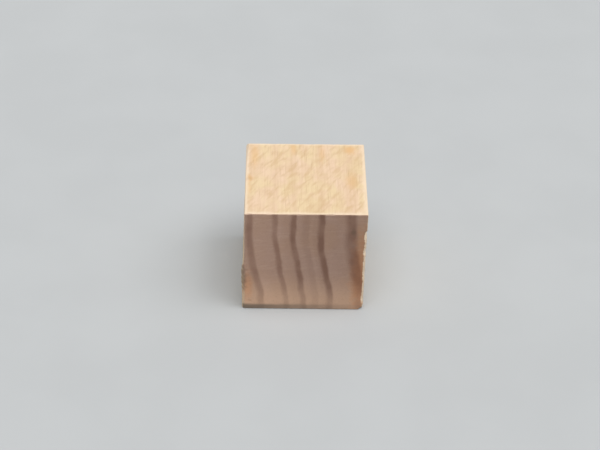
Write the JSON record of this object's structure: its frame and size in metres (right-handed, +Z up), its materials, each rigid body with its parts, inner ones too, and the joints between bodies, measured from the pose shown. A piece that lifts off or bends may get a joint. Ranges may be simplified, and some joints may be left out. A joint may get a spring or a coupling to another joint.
{
  "type": "wooden cube",
  "caption": "Small block of pale hardwood, close to a cube, with sawn end grain at front and back and lightly broken edges, used as a spacer, prop or counting block.",
  "frame": {"origin": "centre of the bounding box's base, on the surface the cube stands on", "axes": "+Z up through the top face; -Y out of the front face, which is end grain, so the fibres run along Y; +X to the right, across the growth rings"},
  "size_m": [0.0204, 0.02, 0.02],
  "materials": {
    "wood": "bare sanded hardwood, matt"
  },
  "bodies": {
    "root": {"wooden_cube": "wood"}
  },
  "joints": []
}
